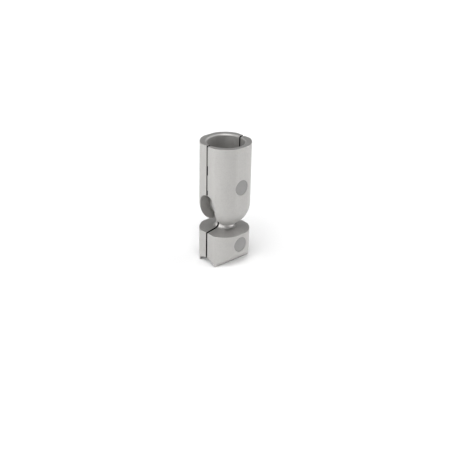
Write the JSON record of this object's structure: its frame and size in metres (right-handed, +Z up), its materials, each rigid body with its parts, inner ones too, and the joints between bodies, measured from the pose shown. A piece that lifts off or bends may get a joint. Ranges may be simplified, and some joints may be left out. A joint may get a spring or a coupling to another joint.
{
  "type": "ball joint tube fixing",
  "caption": "Ball joint fixing: a split clamp grips a round tube's end and swings on a ball that stands on a saddle clamp hooked onto a crosswise tube.",
  "frame": {"origin": "on the crown of the crosswise tube, in the middle under the fixing, where the lower clamp's saddle rests", "axes": "+X along the crosswise tube, away from the neck slot; +Z up through the ball's centre, along the bore of the upper clamp; both clamps are split on the plane Y = 0 with the screw heads on the -Y side"},
  "size_m": [0.0378, 0.0394, 0.1022],
  "materials": {
    "casting": "die-cast, matt light grey with a fine grain, edges slightly rounded",
    "cap": "moulded mid grey plastic, fine matt texture",
    "zinc_plated_steel": "bright zinc plated",
    "ball_stud": "turned, satin"
  },
  "bodies": {
    "lower_rear": {"lower_rear_jaw": "casting", "lower_hex_nut": "zinc_plated_steel"},
    "lower_front": {"lower_front_jaw": "casting"},
    "lower_screw": {"lower_clamp_screw": "zinc_plated_steel", "lower_washer": "zinc_plated_steel"},
    "lower_front_cap": {"lower_front_cap": "cap"},
    "lower_rear_cap": {"lower_rear_cap": "cap"},
    "ball_stud": {"ball_stud": "ball_stud"},
    "upper_rear": {"upper_rear_shell": "casting", "upper_hex_nut": "zinc_plated_steel"},
    "upper_front": {"upper_front_shell": "casting"},
    "upper_screw": {"upper_clamp_screw": "zinc_plated_steel", "upper_washer": "zinc_plated_steel"},
    "upper_front_cap": {"upper_front_cap": "cap"},
    "upper_rear_cap": {"upper_rear_cap": "cap"}
  },
  "joints": [
    {"name": "lower_jaw_open", "type": "slide", "parent": "lower_rear", "child": "lower_front", "axis": [0, -1, 0], "range_m": [0, 0.0015]},
    {"name": "lower_screw_turn", "type": "hinge", "parent": "lower_front", "child": "lower_screw", "pos_m": [0, 0, 0.0138], "axis": [0, -1, 0], "range_deg": [0, 540]},
    {"name": "lower_front_cap_pull", "type": "slide", "parent": "lower_front", "child": "lower_front_cap", "axis": [0, -1, 0], "range_m": [0, 0.012]},
    {"name": "lower_rear_cap_pull", "type": "slide", "parent": "lower_rear", "child": "lower_rear_cap", "axis": [0, 1, 0], "range_m": [0, 0.012]},
    {"name": "stud_swivel", "type": "hinge", "parent": "lower_rear", "child": "ball_stud", "pos_m": [0, 0, 0.0201], "axis": [0, 0, 1], "continuous": true},
    {"name": "tilt", "type": "hinge", "parent": "ball_stud", "child": "upper_rear", "pos_m": [0, 0, 0.046], "axis": [0, 1, 0], "range_deg": [-90, 3]},
    {"name": "upper_jaw_open", "type": "slide", "parent": "upper_rear", "child": "upper_front", "axis": [0, -1, 0], "range_m": [0, 0.0015]},
    {"name": "upper_screw_turn", "type": "hinge", "parent": "upper_front", "child": "upper_screw", "pos_m": [0, 0, 0.0635], "axis": [0, -1, 0], "range_deg": [0, 540]},
    {"name": "upper_front_cap_pull", "type": "slide", "parent": "upper_front", "child": "upper_front_cap", "axis": [0, -1, 0], "range_m": [0, 0.012]},
    {"name": "upper_rear_cap_pull", "type": "slide", "parent": "upper_rear", "child": "upper_rear_cap", "axis": [0, 1, 0], "range_m": [0, 0.012]}
  ],
  "couplings": [
    {"joint": "lower_screw_turn", "follows": "lower_jaw_open", "rad_per_m": 6283},
    {"joint": "upper_screw_turn", "follows": "upper_jaw_open", "rad_per_m": 6283}
  ]
}
